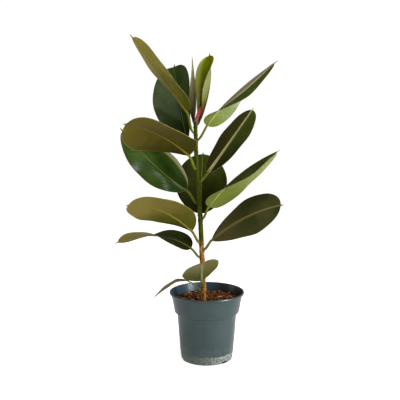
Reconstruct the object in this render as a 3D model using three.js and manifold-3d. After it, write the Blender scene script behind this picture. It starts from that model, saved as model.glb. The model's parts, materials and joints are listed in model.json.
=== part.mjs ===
// A potted rubber plant: one woody stem with large stiff leaves, in a plain nursery pot of
// potting bark. Millimetres, +Z up. The origin is the centre of the pot's underside, on the
// surface that the pot stands on, and -Y is the plant's front.

import * as THREE from 'three';
import { mergeVertices } from 'three/addons/utils/BufferGeometryUtils.js';
import Module from 'manifold-3d';

// ---------------------------------------------------------------- driving dimensions

const GAP = 0.3;                 // clearance between pieces that touch

// Pot: a 17 cm nursery pot, thin walled, with a flared band and a rolled lip.
const POT_HEIGHT = 157;
const RIM_RADIUS = 85;
const FOOT_RADIUS = 58.5;
const WALL = 1.8;
const FLOOR_THICKNESS = 2.6;
const BAND_FOOT = 110;           // height of the step where the band starts
const POT_SIDES = 48;

// Drain notches: slots through the corner between the foot and the wall.
const NOTCH_BEARINGS = [-46, 74, 194];
const NOTCH_WIDTH = 16;
const NOTCH_HEIGHT = 5;
const NOTCH_DEPTH = 9;

// Soil: bark and coir, filled to 20 mm below the rim, with a plain hole for the stem.
const SOIL_TOP = 137;
const SOIL_RELIEF = 2.6;         // how far the granules stand up or sink
const SOIL_SIDES = 40;
const SOIL_RINGS = 9;
const SOIL_SEED = 17;
const SOIL_CLEARANCE = GAP + 0.4;             // to the pot's wall, kept on the flat sides too
const SOIL_LEVELS = [111.4, 109, 104.4, 52.4, 20, 5];   // where the pot's wall bends, top down
const SOIL_FOOT_RADIUS = 54;
const HOLE_BOTTOM = 62;
const HOLE_CLEARANCE = GAP + 0.2;

// Stem: woody below, green above, leaning a little as it rises.
const STEM_FOOT_RADIUS = 6.4;
const STEM_TOP_RADIUS = 4.2;
const STEM_SIDES = 10;
const STEM_TOP = 540;
const STEM_COURSE = [
  [-7, -11, HOLE_BOTTOM + GAP], [-7, -11, 137], [-11, -10, 240], [-15, -8, 327],
  [-19, -6, 390], [-23, -4, 440], [-25, -1, 508], [-26, -1, STEM_TOP],
];
const SCAR_HEIGHTS = [163, 196, 219];   // rings where old leaves have dropped
const SCAR_SWELL = 0.9;
const SCAR_DROPS = [7, 5, 3.5];  // its ring's foot, ridge and top, below the scar or node
const LEAST_STEP = 1;            // levels closer than this are one
const STEM_PLAIN_LEVEL = 100;    // a level with no ring, halfway up the buried part

// Leaves: oval blades with a short drip tip on round stalks.
const BLADE_THICKNESS = 0.9;
const RIB_DEPTH = 2.6;
const RIB_HALF = 2.8;
const STALK_RADIUS = 2.9;        // a stalk's radius on a leaf that is FULL_WIDTH wide or wider
const FULL_WIDTH = 90;
const STALK_FOOT_SCALE = 1.15;   // how much thicker the stalk is at the stem
const STALK_PULL = 0.22;         // share of its reach that the stalk runs out before it bends
const STALK_RISE = 0.62;         // how much it rises there for each millimetre outwards
const DRIP_HALF = 3.2;
const DRIP_SHARE = 0.04;         // share of the blade's length that is drip tip
const EDGE_WAVES = 2.5;
const WAVE_LAG = 1.7;            // radians that the waves of the two edges are apart

// Each leaf: the height of its node on the stem, then three points of its midrib (where the
// blade starts, its middle, its tip), the blade's width, where along its length it is
// broadest, and the power of its oval (smaller is blunter at both ends). Then, at its base,
// middle and tip, how far the blade is rolled about the midrib, and how far its halves are
// folded up (or down, if negative). Both are in degrees: a roll with a plus lifts the half on
// the right, seen from the stem.
const LEAVES = {
  leaf_01: {
    node: 163, base: [-35, -25, 183], mid: [-73, -33, 190], tip: [-121, -42, 150],
    width: 48, broad: 0.5, blunt: 0.5, wave: 0.8,
    roll: [-8, -8, -8], fold: [-6, -6, -6],
  },
  leaf_02: {
    node: 172, base: [-12, -35, 190], mid: [-12, -75, 222], tip: [-10, -115, 251],
    width: 87, broad: 0.5, blunt: 0.55, wave: 1,
    roll: [-20, -21, -22], fold: [8, 8, 8],
  },
  leaf_03: {
    node: 238, base: [-36, -22, 261], mid: [-115, -8, 287], tip: [-209, 5, 266],
    width: 82, broad: 0.42, blunt: 0.55, wave: 1.2,
    roll: [31, -7, -45], fold: [12, 8, 9],
  },
  leaf_04: {
    node: 256, base: [11, -18, 279], mid: [87, -50, 337], tip: [163, -85, 369],
    width: 100, broad: 0.6, blunt: 0.45, wave: 1.5,
    roll: [-44, -50, -48], fold: [-2, -4, -2],
  },
  leaf_05: {
    node: 272, base: [-34, -28, 301], mid: [-101, -96, 359], tip: [-167, -160, 379],
    width: 98, broad: 0.49, blunt: 0.45, wave: 1.2,
    roll: [-29, -31, -44], fold: [33, -3, 8],
  },
  leaf_06: {
    node: 326, base: [4, -20, 355], mid: [74, -30, 431], tip: [160, -30, 482],
    width: 81, broad: 0.42, blunt: 0.55, wave: 0.8,
    roll: [62, 20, 28], fold: [-10, -38, -36],
  },
  leaf_07: {
    node: 338, base: [-13, 15, 334], mid: [-12, 70, 404], tip: [-8, 120, 464],
    width: 120, broad: 0.47, blunt: 0.52, wave: 1.2,
    roll: [0, 0, 0], fold: [5, 5, 5],
  },
  leaf_08: {
    node: 360, base: [-47, 5, 389], mid: [-121, 40, 443], tip: [-200, 70, 525],
    width: 103, broad: 0.5, blunt: 0.55, wave: 1.5,
    roll: [38, 35, 35], fold: [5, 5, 5],
  },
  leaf_09: {
    node: 408, base: [3, 5, 429], mid: [60, 45, 505], tip: [109, 90, 570],
    width: 75, broad: 0.5, blunt: 0.5, wave: 1.2,
    roll: [-11, -10, -21], fold: [0, -2, -1],
  },
  leaf_10: {
    node: 438, base: [-40, -25, 469], mid: [-102, -108, 520], tip: [-167, -190, 546],
    width: 122, broad: 0.52, blunt: 0.42, wave: 1.5,
    roll: [-23, -21, -46], fold: [22, -16, -2],
  },
  leaf_11: {
    node: 502, base: [0, -10, 534], mid: [63, -15, 606], tip: [154, -10, 675],
    width: 78, broad: 0.42, blunt: 0.55, wave: 0.8,
    roll: [62, 2, -18], fold: [-5, -34, -10],
  },
  leaf_12: {
    node: 480, base: [-44, 14, 498], mid: [-63, 74, 586], tip: [-76, 126, 671],
    width: 122, broad: 0.54, blunt: 0.45, wave: 1,
    roll: [52, 50, 37], fold: [32, 30, 25],
  },
  leaf_13: {
    node: 518, base: [-45, -10, 564], mid: [-102, -25, 644], tip: [-165, -40, 729],
    width: 80, broad: 0.44, blunt: 0.52, wave: 1,
    roll: [-16, -11, -30], fold: [30, 6, 25],
  },
  leaf_14: {
    node: 535, base: [-17, 5, 542], mid: [5, 0, 620], tip: [5, 4, 691],
    width: 66, broad: 0.64, blunt: 0.45, wave: 0.5, bearing: 75,
    roll: [25, 39, 10], fold: [50, 60, 22],
  },
  leaf_15: {
    node: 535, base: [-30, 8, 541], mid: [-29, 11, 607], tip: [-33, 8, 684],
    width: 26, broad: 0.42, blunt: 0.8, wave: 0.5, bearing: 100,
    roll: [26, 26, 10], fold: [54, 54, 80],
  },
};

// Sheath: the red wrap of the growing bud, a slim point on the stem's top.
const SHEATH_COURSE = [[-25, -2, 541.8], [-18, -7, 562], [-12, -9, 577]];
const SHEATH_RADIUS = 4.2;

// ---------------------------------------------------------------- colours

const PLASTIC = { color: 0x485c5b, roughness: 0.45, metalness: 0 };
const BARK = { color: 0x4a2810, roughness: 0.95, metalness: 0 };
const WOOD = { color: 0x97703f, roughness: 0.8, metalness: 0 };
const LEAF = { color: 0x3a4526, roughness: 0.4, metalness: 0 };
const YOUNG_LEAF = { color: 0x74801c, roughness: 0.35, metalness: 0 };
const SHEATH = { color: 0xbf4256, roughness: 0.5, metalness: 0 };

// ---------------------------------------------------------------- helpers

const wasm = await Module();
wasm.setup();

const vec = (point) => new THREE.Vector3(...point);
const radians = THREE.MathUtils.degToRad;
const lerp = THREE.MathUtils.lerp;
const clamp = THREE.MathUtils.clamp;

// Seeded random numbers from 0 to 1, the same in each run.
function randomSource(seed) {
  let state = seed;
  return () => {
    state = (state * 1664525 + 1013904223) % 4294967296;
    return state / 4294967296;
  };
}

// A closed skin through rings of equally many points, with a fan on each end. Seen along the
// way the rings go, their points run clockwise. The second half of each ring is split along
// the other diagonal, so the two faces of a thin blade are split alike.
function loft(rings) {
  const count = rings[0].length;
  const points = rings.flat();
  const faces = [];
  for (let i = 0; i < rings.length - 1; i += 1) {
    for (let k = 0; k < count; k += 1) {
      const a = i * count + k;
      const b = i * count + ((k + 1) % count);
      const c = a + count;
      const d = b + count;
      if (k < count / 2) faces.push(a, b, d, a, d, c);
      else faces.push(a, b, c, b, d, c);
    }
  }
  capEnd(points, faces, 0, count, true);
  capEnd(points, faces, (rings.length - 1) * count, count, false);
  const geometry = new THREE.BufferGeometry().setFromPoints(points);
  geometry.setIndex(faces);
  return geometry;
}

// A fan from a new point in the middle of a ring.
function capEnd(points, faces, first, count, isStart) {
  const centre = new THREE.Vector3();
  for (let k = 0; k < count; k += 1) centre.add(points[first + k]);
  points.push(centre.divideScalar(count));
  for (let k = 0; k < count; k += 1) {
    const a = first + k;
    const b = first + ((k + 1) % count);
    if (isStart) faces.push(b, a, points.length - 1);
    else faces.push(a, b, points.length - 1);
  }
}

function solidFrom(geometry) {
  const bare = geometry.clone();
  bare.deleteAttribute('normal');
  bare.deleteAttribute('uv');
  const merged = mergeVertices(bare, 1e-4);
  return new wasm.Manifold(new wasm.Mesh({
    numProp: 3,
    vertProperties: new Float32Array(merged.attributes.position.array),
    triVerts: new Uint32Array(merged.index.array),
  }));
}

function geometryFrom(solid) {
  const mesh = solid.getMesh();
  const geometry = new THREE.BufferGeometry();
  geometry.setAttribute('position', new THREE.BufferAttribute(mesh.vertProperties, 3));
  geometry.setIndex(new THREE.BufferAttribute(mesh.triVerts, 1));
  return geometry;
}

function namedMesh(name, geometry, finish) {
  const mesh = new THREE.Mesh(geometry, new THREE.MeshStandardMaterial(finish));
  geometry.computeVertexNormals();
  mesh.name = name;
  return mesh;
}

// ---------------------------------------------------------------- pot

// Radius and height along the pot's wall outside, bottom to top, below the lip.
const WALL_OUTSIDE = [
  [FOOT_RADIUS, 1.6], [60.3, 15.5], [59.8, 17], [60.8, 18.5], [63.6, 52], [66.2, 88], [67.5, 104],
  [68.6, BAND_FOOT - 1.5], [73.4, BAND_FOOT + 1], [74.2, BAND_FOOT + 3], [78, 136], [80.9, 149],
];

// The wall's inside, bottom to top: the outside moved in, without the foot's groove.
const WALL_INSIDE = [
  [57.4, FLOOR_THICKNESS + 1.6], [59, 20],
  ...WALL_OUTSIDE.slice(4).map(([radius, height]) => [radius - WALL, height + 0.4]),
];

const LIP = [
  [83.4, 151.6], [RIM_RADIUS, 153.4], [RIM_RADIUS, POT_HEIGHT - 1.2],
  [RIM_RADIUS - 1.2, POT_HEIGHT], [RIM_RADIUS - 2.6, POT_HEIGHT], [RIM_RADIUS - 4, POT_HEIGHT - 1.4],
];

function potWall() {
  const profile = [
    [0, 0], [FOOT_RADIUS - 1.4, 0], ...WALL_OUTSIDE, ...LIP,
    ...[...WALL_INSIDE].reverse(), [55.8, FLOOR_THICKNESS], [0, FLOOR_THICKNESS],
  ];
  const lathe = new THREE.LatheGeometry(
    profile.map(([radius, height]) => new THREE.Vector2(radius, height)), POT_SIDES);
  return solidFrom(lathe.rotateX(Math.PI / 2));
}

function drainNotch(bearing) {
  const box = new THREE.BoxGeometry(NOTCH_DEPTH * 2, NOTCH_WIDTH, NOTCH_HEIGHT * 2);
  box.translate(FOOT_RADIUS, 0, 0).rotateZ(radians(bearing));
  return solidFrom(box);
}

function pot() {
  let body = potWall();
  for (const bearing of NOTCH_BEARINGS) body = body.subtract(drainNotch(bearing));
  return namedMesh('pot', geometryFrom(body), PLASTIC);
}

// ---------------------------------------------------------------- stem

const HALVINGS = 24;             // enough to find a height to a thousandth of a millimetre

const stemCurve = new THREE.CatmullRomCurve3(STEM_COURSE.map(vec), false, 'centripetal');

// The stem's centre at a height, found by halving the curve.
function stemCentre(height) {
  let low = 0;
  let high = 1;
  for (let step = 0; step < HALVINGS; step += 1) {
    const middle = (low + high) / 2;
    if (stemCurve.getPoint(middle).z < height) low = middle;
    else high = middle;
  }
  return stemCurve.getPoint(low);
}

function stemRadius(height) {
  const rise = clamp((height - SOIL_TOP) / (STEM_TOP - SOIL_TOP), 0, 1);
  return lerp(STEM_FOOT_RADIUS, STEM_TOP_RADIUS, rise);
}

// A level ring of points, counter-clockwise seen from above.
function levelRing(centre, radius, sides) {
  return Array.from({ length: sides }, (_, k) => {
    const turn = (k / sides) * 2 * Math.PI;
    return new THREE.Vector3(
      centre.x + radius * Math.cos(turn), centre.y + radius * Math.sin(turn), centre.z);
  });
}

// The stem's levels, bottom to top: plain ones, and three for the swollen ring under each node.
function stemLevels() {
  const levels = [HOLE_BOTTOM + GAP, STEM_PLAIN_LEVEL, SOIL_TOP, STEM_TOP]
    .map((height) => [height, 0]);
  const [foot, ridge, top] = SCAR_DROPS;
  const nodes = Object.values(LEAVES).map((leaf) => leaf.node);
  for (const node of new Set([...SCAR_HEIGHTS, ...nodes])) {
    levels.push([node - foot, 0], [node - ridge, SCAR_SWELL], [node - top, 0]);
  }
  levels.sort(([low], [high]) => low - high);
  return levels.filter(([height], k) => k === 0 || height - levels[k - 1][0] > LEAST_STEP);
}

function stem() {
  const rings = stemLevels().map(([height, swell]) => levelRing(
    stemCentre(height), stemRadius(height) + swell, STEM_SIDES));
  return namedMesh('stem', loft(rings), WOOD);
}

// ---------------------------------------------------------------- soil

// Inside radius of the pot at a height.
function potInside(height) {
  const upper = WALL_INSIDE.findIndex(([, level]) => level >= height);
  const [r0, z0] = WALL_INSIDE[upper - 1];
  const [r1, z1] = WALL_INSIDE[upper];
  return lerp(r0, r1, (height - z0) / (z1 - z0));
}

// One closed skin: up the stem's hole, out over the rough top, down along the pot's wall;
// its rings are joined from the foot up.
function soil() {
  const random = randomSource(SOIL_SEED);
  const holeCentre = stemCentre(SOIL_TOP);
  const holeRadius = STEM_FOOT_RADIUS + HOLE_CLEARANCE;
  const ring = (x, y, z, radius) => levelRing(new THREE.Vector3(x, y, z), radius, SOIL_SIDES);
  const rings = [
    ring(holeCentre.x, holeCentre.y, HOLE_BOTTOM, holeRadius),
    ring(holeCentre.x, holeCentre.y, SOIL_TOP - 1, holeRadius),
  ];
  const outerRadius = potInside(SOIL_TOP) - SOIL_CLEARANCE;
  for (let k = 1; k <= SOIL_RINGS; k += 1) {
    const share = k / (SOIL_RINGS + 1);
    const top = ring(lerp(holeCentre.x, 0, share), lerp(holeCentre.y, 0, share), SOIL_TOP,
      lerp(holeRadius, outerRadius, share));
    for (const point of top) point.z += (random() * 2 - 1) * SOIL_RELIEF;
    rings.push(top);
  }
  rings.push(ring(0, 0, SOIL_TOP - 1.5, outerRadius));
  for (const height of SOIL_LEVELS) {
    rings.push(ring(0, 0, height, potInside(height) - SOIL_CLEARANCE));
  }
  rings.push(ring(0, 0, FLOOR_THICKNESS + GAP, SOIL_FOOT_RADIUS));
  return namedMesh('soil', loft(rings.reverse()), BARK);
}

// ---------------------------------------------------------------- leaves

// The leaf's level cross direction, square to the bearing that it points in.
function crossDirection(leaf) {
  const along = vec(leaf.tip).sub(vec(leaf.base));
  const bearing = 'bearing' in leaf ? radians(leaf.bearing) : Math.atan2(along.y, along.x);
  return new THREE.Vector3(Math.sin(bearing), -Math.cos(bearing), 0);
}

// The midrib's curve through its three points, and the stalk's curve from the stem to it.
function leafCurves(leaf) {
  const [base, mid, tip] = [leaf.base, leaf.mid, leaf.tip].map(vec);
  const bend = mid.clone().multiplyScalar(2).sub(base.clone().add(tip).multiplyScalar(0.5));
  const blade = new THREE.QuadraticBezierCurve3(base, bend, tip);
  const centre = stemCentre(leaf.node);
  const outward = base.clone().sub(centre).setZ(0).normalize();
  const reach = base.distanceTo(centre);
  const start = centre.clone().addScaledVector(outward, stemRadius(leaf.node) + GAP);
  const startPull = start.clone().addScaledVector(outward, reach * STALK_PULL);
  startPull.z += reach * STALK_PULL * STALK_RISE;
  const endPull = base.clone().addScaledVector(blade.getTangent(0), -reach * 0.3);
  return { blade, stalk: new THREE.CubicBezierCurve3(start, startPull, endPull, base), outward };
}

// The smooth curve through a value at the start, one in the middle and one at the end.
function through([start, middle, end], t) {
  return start * 2 * (t - 0.5) * (t - 1) + middle * 4 * t * (1 - t) + end * 2 * t * (t - 0.5);
}

const bladeRoll = (t, leaf) => radians(through(leaf.roll, t));
const bladeFold = (t, leaf) => radians(through(leaf.fold, t));

// The leaf's frame at a point: along its curve, to its right, and out of its upper face.
function leafFrame(curve, t, cross, roll, along = curve.getTangent(t).normalize()) {
  const right = cross.clone().addScaledVector(along, -cross.dot(along)).normalize();
  const up = right.clone().cross(along).normalize();
  right.applyAxisAngle(along, -roll);
  up.applyAxisAngle(along, -roll);
  return { centre: curve.getPoint(t), right, up };
}

// Narrow leaves have thinner stalks.
const stalkRadius = (leaf) => STALK_RADIUS * clamp(leaf.width / FULL_WIDTH, 0.5, 1);

const STALK_STEPS = [0.3, 0.65, 1];
const BLADE_STEPS = [
  0.012, 0.045, 0.1, 0.18, 0.29, 0.41, 0.53, 0.65, 0.76, 0.86, 0.92, 0.96, 1,
];
const RING_POINTS = 14;

function stalkRing(frame, radius) {
  return Array.from({ length: RING_POINTS }, (_, k) => {
    const turn = Math.PI - ((k + 0.5) / RING_POINTS) * 2 * Math.PI;
    return frame.centre.clone()
      .addScaledVector(frame.right, radius * Math.cos(turn))
      .addScaledVector(frame.up, radius * Math.sin(turn));
  });
}

// Half the blade's width: an oval, broadest where the leaf says, then a narrow drip tip.
function bladeHalfWidth(t, leaf) {
  const share = clamp(t / (1 - DRIP_SHARE), 0, 1);
  const skew = Math.log(0.5) / Math.log(leaf.broad);
  const oval = (leaf.width / 2) * Math.max(Math.sin(Math.PI * share ** skew), 0) ** leaf.blunt;
  const drip = 0.5 + DRIP_HALF * clamp((1 - t) / (DRIP_SHARE * 2), 0, 1);
  return Math.max(oval, drip);
}

// How far a point of the blade stands above the midrib's plane.
function bladeLift(across, t, half, leaf) {
  const folded = Math.abs(across) * half * Math.sin(bladeFold(t, leaf));
  const lag = across < 0 ? 0 : WAVE_LAG;
  const wave = leaf.wave * Math.sin(2 * Math.PI * EDGE_WAVES * t + lag) * across ** 2;
  return folded + wave * Math.sin(Math.PI * clamp(t, 0, 1));
}

function bladeRing(frame, t, leaf) {
  const half = bladeHalfWidth(t, leaf);
  const rib = Math.min(RIB_HALF * (1 - 0.7 * t), half * 0.4) / half;
  const across = [-1, -0.58, -rib, 0, rib, 0.58, 1];
  const ribDepth = Math.min(RIB_DEPTH * (1 - t) + 0.3, half * 0.6);
  const spread = Math.cos(bladeFold(t, leaf));
  const place = (share, drop) => frame.centre.clone()
    .addScaledVector(frame.right, share * half * spread)
    .addScaledVector(frame.up, bladeLift(share, t, half, leaf) - drop);
  const top = across.map((share) => place(share, -BLADE_THICKNESS / 2));
  const under = [...across].reverse()
    .map((share) => place(share, BLADE_THICKNESS / 2 + (share === 0 ? ribDepth : 0)));
  return [...top, ...under];
}

// The stalk's foot stands upright against the stem; its other rings are square to its curve.
function leafSolid(name, leaf, finish) {
  const cross = crossDirection(leaf);
  const { blade, stalk, outward } = leafCurves(leaf);
  const foot = leafFrame(stalk, 0, cross, bladeRoll(0, leaf), outward);
  const stalkRings = [stalkRing(foot, stalkRadius(leaf) * STALK_FOOT_SCALE)];
  for (const t of STALK_STEPS) {
    const frame = leafFrame(stalk, t, cross, bladeRoll(0, leaf));
    stalkRings.push(stalkRing(frame, stalkRadius(leaf) * lerp(STALK_FOOT_SCALE, 1, t)));
  }
  const bladeRings = BLADE_STEPS.map((t) => bladeRing(
    leafFrame(blade, t, cross, bladeRoll(t, leaf)), t, leaf));
  return namedMesh(name, loft([...stalkRings, ...bladeRings]), finish);
}

// ---------------------------------------------------------------- sheath

function sheath() {
  const curve = new THREE.QuadraticBezierCurve3(...SHEATH_COURSE.map(vec));
  const cross = new THREE.Vector3(0, -1, 0);
  const rings = [0, 0.12, 0.3, 0.5, 0.7, 0.88, 1].map((t) => {
    const radius = 0.5 + SHEATH_RADIUS * Math.sin(Math.PI * (0.2 + 0.8 * t)) ** 0.8;
    return stalkRing(leafFrame(curve, t, cross, 0), radius);
  });
  return namedMesh('sheath', loft(rings), SHEATH);
}

// ---------------------------------------------------------------- the plant

const YOUNG = ['leaf_14', 'leaf_15'];

const plant = new THREE.Group();
plant.add(pot(), soil(), stem(), sheath());
for (const [name, leaf] of Object.entries(LEAVES)) {
  plant.add(leafSolid(name, leaf, YOUNG.includes(name) ? YOUNG_LEAF : LEAF));
}

export default plant;
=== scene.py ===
# %% [markdown]
# # A potted rubber plant, cell by cell
#
# The object is a young rubber plant in a plain nursery pot. Its solids come from a CAD model,
# which gives every size and place: the pot, the soil, the stem, the bud's sheath and fifteen
# leaves. This lesson dresses them. Each cell makes one piece or one finish, and each text cell
# says what the real thing is and why it is made that way.
#
# Blender works in metres here. The plant's own sizes are easier to read in millimetres, so
# they are written that way and turned into metres at the end.

# %% Load the frame
import functools
import json
import math
import random

import bmesh
import bpy
from mathutils import Matrix, Quaternion, Vector, noise

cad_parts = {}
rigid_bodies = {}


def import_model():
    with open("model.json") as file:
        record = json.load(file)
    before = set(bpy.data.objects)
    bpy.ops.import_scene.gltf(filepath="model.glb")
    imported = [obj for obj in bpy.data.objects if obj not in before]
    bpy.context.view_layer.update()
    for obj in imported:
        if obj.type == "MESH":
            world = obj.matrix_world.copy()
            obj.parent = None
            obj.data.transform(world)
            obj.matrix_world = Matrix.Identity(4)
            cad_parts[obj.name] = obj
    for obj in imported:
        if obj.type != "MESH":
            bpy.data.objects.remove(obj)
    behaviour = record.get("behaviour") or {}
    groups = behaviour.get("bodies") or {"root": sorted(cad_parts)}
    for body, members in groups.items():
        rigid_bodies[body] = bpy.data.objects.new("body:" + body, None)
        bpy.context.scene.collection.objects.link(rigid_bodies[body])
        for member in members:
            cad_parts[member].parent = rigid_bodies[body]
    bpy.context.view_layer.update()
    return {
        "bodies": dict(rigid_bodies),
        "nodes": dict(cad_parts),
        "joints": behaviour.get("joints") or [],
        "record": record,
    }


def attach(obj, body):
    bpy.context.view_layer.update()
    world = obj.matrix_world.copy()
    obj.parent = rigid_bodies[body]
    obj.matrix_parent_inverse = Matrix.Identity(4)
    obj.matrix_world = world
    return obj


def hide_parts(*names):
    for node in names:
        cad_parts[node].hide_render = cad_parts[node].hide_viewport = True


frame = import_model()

MM = 0.001
scene = bpy.context.scene

# %% [markdown]
# ## The camera
#
# The camera comes first, because everything is judged through it. A long lens from 1.7 m away
# keeps the pot's rim a slim ellipse. It stands a little above the middle of the plant and looks
# slightly down, so the far rim and the soil show.

# %% Camera
CAMERA_PLACE = (-0.0156, -1.70, 0.615)
CAMERA_DOWN = 8.3                # degrees below the level

lens = bpy.data.cameras.new("camera")
lens.sensor_width = 36
lens.lens = 68.85
camera = bpy.data.objects.new("camera", lens)
camera.location = CAMERA_PLACE
camera.rotation_euler = (math.radians(90 - CAMERA_DOWN), 0, 0)
scene.collection.objects.link(camera)
scene.camera = camera
print("lens:", lens.lens, "mm")

# %% [markdown]
# ## Small tools for finishes
#
# A finish is a material made of nodes, with no pictures. A few small tools keep each one short:
# a colour from screen values, a node with its inputs, one colour laid over another, a stretched
# value and soft noise. Effects that several finishes share become node groups further down.

# %% Node tools
def paint(red, green, blue):
    """A colour from screen values of 0 to 255, as the linear light that a shader wants."""
    def linear(value):
        share = value / 255
        return share / 12.92 if share <= 0.04045 else ((share + 0.055) / 1.055) ** 2.4
    return (linear(red), linear(green), linear(blue), 1)


def add(tree, kind, inputs=None, **settings):
    """A new node. Each input is a number, a colour or another node's output."""
    node = tree.nodes.new("ShaderNode" + kind)
    for name, value in settings.items():
        setattr(node, name, value)
    for key, value in (inputs or {}).items():
        if isinstance(value, bpy.types.NodeSocket):
            tree.links.new(value, node.inputs[key])
        else:
            node.inputs[key].default_value = value
    return node


def calculate(tree, operation, first, second=0.0):
    return add(tree, "Math", {0: first, 1: second}, operation=operation).outputs[0]


def mix(tree, factor, first, second):
    """The first colour where the factor is 0, the second where it is 1."""
    return add(tree, "Mix", {0: factor, 6: first, 7: second}, data_type="RGBA").outputs[2]


def over(tree, colour, other, mask, strength=1.0):
    """Lays another colour over this one where the mask is 1, as strongly as told."""
    if strength != 1.0:
        mask = calculate(tree, "MULTIPLY", mask, strength)
    return mix(tree, mask, colour, other)


def stretch(tree, value, low, high, to_low=0.0, to_high=1.0):
    """Maps low..high smoothly to to_low..to_high and holds it beyond."""
    return add(tree, "MapRange", {
        "Value": value, "From Min": low, "From Max": high, "To Min": to_low, "To Max": to_high,
    }, interpolation_type="SMOOTHSTEP").outputs["Result"]


def place_of(tree):
    """Where a point is on the object, in metres."""
    return add(tree, "TexCoord").outputs["Object"]


def height_of(tree):
    return add(tree, "SeparateXYZ", {0: place_of(tree)}).outputs["Z"]


def speckle(tree, size, detail=4.0, squeeze=(1, 1, 1)):
    """Soft noise from 0 to 1 with blots of about that size in metres."""
    spot = add(tree, "Mapping", {"Vector": place_of(tree), "Scale": squeeze}).outputs[0]
    return add(tree, "TexNoise", {
        "Vector": spot, "Scale": 1 / size, "Detail": detail}).outputs["Fac"]


def new_finish(name, **values):
    """A material with one shader. Plain values such as Coat_Weight go on its own sockets."""
    material = bpy.data.materials.new(name)
    material.use_nodes = True
    shader = material.node_tree.nodes["Principled BSDF"]
    for key, value in values.items():
        shader.inputs[key.replace("_", " ")].default_value = value
    return material, material.node_tree, shader


def bump(tree, shader, height, depth, strength=1.0):
    """Gives the shader small relief from a height of 0 to 1, that many metres deep."""
    node = add(tree, "Bump", {"Height": height, "Distance": depth, "Strength": strength})
    tree.links.new(node.outputs[0], shader.inputs["Normal"])


def drive(tree, shader, **outputs):
    """Plugs outputs into the shader's sockets, such as Base_Color."""
    for key, value in outputs.items():
        tree.links.new(value, shader.inputs[key.replace("_", " ")])


WAX_TINT = (1, 0.96, 0.45, 1)    # living surfaces reflect less blue than plastic does

print("white is", paint(255, 255, 255))

# %% [markdown]
# ## Small tools for shapes
#
# Most of this plant is made in one of two ways. A round thing, such as a stem or a stalk,
# starts as a straight rod that is cut into steps and then bent. A flat thing, such as a leaf,
# starts as a grid. In both, each vertex moves from its spot on the plain shape to its place on
# the plant by a formula. The plain shape's spots are also stored as attributes, so that veins
# and colours can follow the leaf wherever it bends.

# %% Shape tools
def rod(sides, steps):
    """A straight rod, 1 high and 1 in radius, cut into steps along its length."""
    bm = bmesh.new()
    bmesh.ops.create_cone(bm, cap_ends=True, segments=sides, radius1=1, radius2=1, depth=1)
    bmesh.ops.translate(bm, vec=(0, 0, 0.5), verts=bm.verts)
    upright = [e for e in bm.edges if abs(e.verts[0].co.z - e.verts[1].co.z) > 0.5]
    bmesh.ops.subdivide_edges(bm, edges=upright, cuts=steps - 1, use_grid_fill=True)
    return bm


def finish_piece(name, bm, finishes, node, sharp=180):
    """Turns a bmesh into a piece that stands for a CAD solid. Edges over sharp stay crisp."""
    mesh = bpy.data.meshes.new(name)
    bm.to_mesh(mesh)
    bm.free()
    for material in finishes:
        mesh.materials.append(material)
    mesh.shade_smooth()
    mesh.set_sharp_from_angle(angle=math.radians(sharp))
    piece = bpy.data.objects.new(name, mesh)
    scene.collection.objects.link(piece)
    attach(piece, "root")
    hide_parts(node)
    print(name, len(mesh.polygons), "faces")
    return piece


def lerp(start, end, share):
    return start + (end - start) * share


def clamp(value):
    return min(max(value, 0.0), 1.0)


def bell(value, centre, width):
    """1 at the centre, falling smoothly to 0 about two widths away."""
    return math.exp(-((value - centre) / width) ** 2)


trial = rod(8, 4)
print("a trial rod has", len(trial.faces), "faces")
trial.free()

# %% [markdown]
# ## The pot
#
# A nursery pot is blown or moulded in one thin wall. A flared band near the top lets pots
# stack, and a rolled lip stiffens the edge. A few drain notches cut the corner between the foot
# and the wall. The wall could be pulled up from a circle by extruding, but its section is the
# same all round, so it is drawn once and spun.

# %% The pot's section
WALL = 1.8
FLOOR_TOP = 2.6
WALL_OUTSIDE = [
    (58.5, 1.6), (59.2, 7), (60.1, 14), (60.3, 15.5), (60.1, 16.3), (59.8, 17), (59.9, 17.6),
    (60.8, 18.5), (61.1, 21), (63.6, 52), (66.2, 88), (67.5, 104), (68.5, 107.6), (68.9, 108.9),
    (73.1, 110.6), (73.7, 111.4), (74.2, 113), (78, 136), (80.9, 149), (81.3, 150.4),
]
LIP = [
    (83.2, 151.2), (84.6, 152.2), (85, 153.6), (85, 155.6), (84.6, 156.6), (83.7, 157),
    (82.5, 157), (81.5, 156.5), (81, 155.4),
]
WALL_INSIDE = [(55.8, FLOOR_TOP), (57.1, 3.2), (57.5, 4.4), (59, 20)]
FOLLOWED = slice(9, 19)          # the outside's points that the inside runs along
INSIDE_RISE = 0.4                # how much higher its bends are than the outside's


def pot_section():
    """From the middle of the underside, up outside, over the lip and down to the floor."""
    inside = WALL_INSIDE + [(r - WALL, z + INSIDE_RISE) for r, z in WALL_OUTSIDE[FOLLOWED]]
    underside = [(0, 0), (57.1, 0), (58, 0.4)]
    return underside + WALL_OUTSIDE + LIP + inside[::-1] + [(0, FLOOR_TOP)]


def spun(section, steps):
    """A section of (radius, height) turned once round the upright axis."""
    bm = bmesh.new()
    verts = [bm.verts.new((radius * MM, 0, height * MM)) for radius, height in section]
    edges = [bm.edges.new(pair) for pair in zip(verts, verts[1:])]
    bmesh.ops.spin(bm, geom=verts + edges, axis=(0, 0, 1), cent=(0, 0, 0), angle=2 * math.pi,
                   steps=steps, use_merge=True, use_duplicate=False)
    bmesh.ops.remove_doubles(bm, verts=bm.verts, dist=1e-6)
    bmesh.ops.recalc_face_normals(bm, faces=bm.faces)
    return bm


print("the section has", len(pot_section()), "points")

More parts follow.
